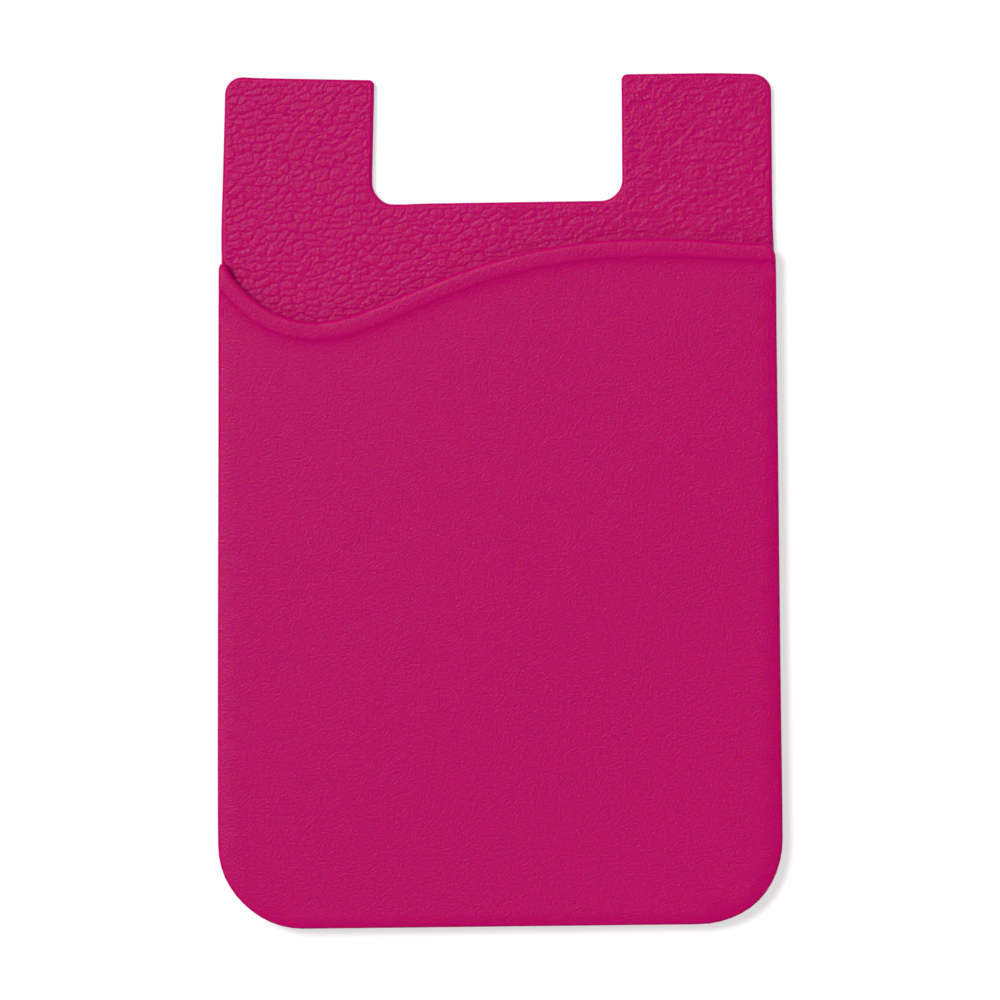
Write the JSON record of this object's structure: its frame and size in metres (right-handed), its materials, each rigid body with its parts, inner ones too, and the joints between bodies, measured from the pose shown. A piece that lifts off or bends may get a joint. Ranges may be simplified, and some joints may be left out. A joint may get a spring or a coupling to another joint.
{
  "type": "stick-on phone card holder",
  "caption": "Soft silicone card pocket that sticks flat to the back of a phone, with a wavy raised lip at its mouth and a thumb notch between grained ears.",
  "frame": {"origin": "middle of the underside, on the surface that the holder lies on", "axes": "+Z out of the pocket's front, +Y toward the ears and the thumb notch, +X to the right seen from the front"},
  "size_m": [0.057, 0.086, 0.0033],
  "materials": {
    "silicone": "matte",
    "adhesive": "satin",
    "liner_paper": "matte"
  },
  "bodies": {
    "root": {"silicone_pocket": "silicone", "adhesive_pad": "adhesive", "release_liner": "liner_paper"}
  },
  "joints": []
}
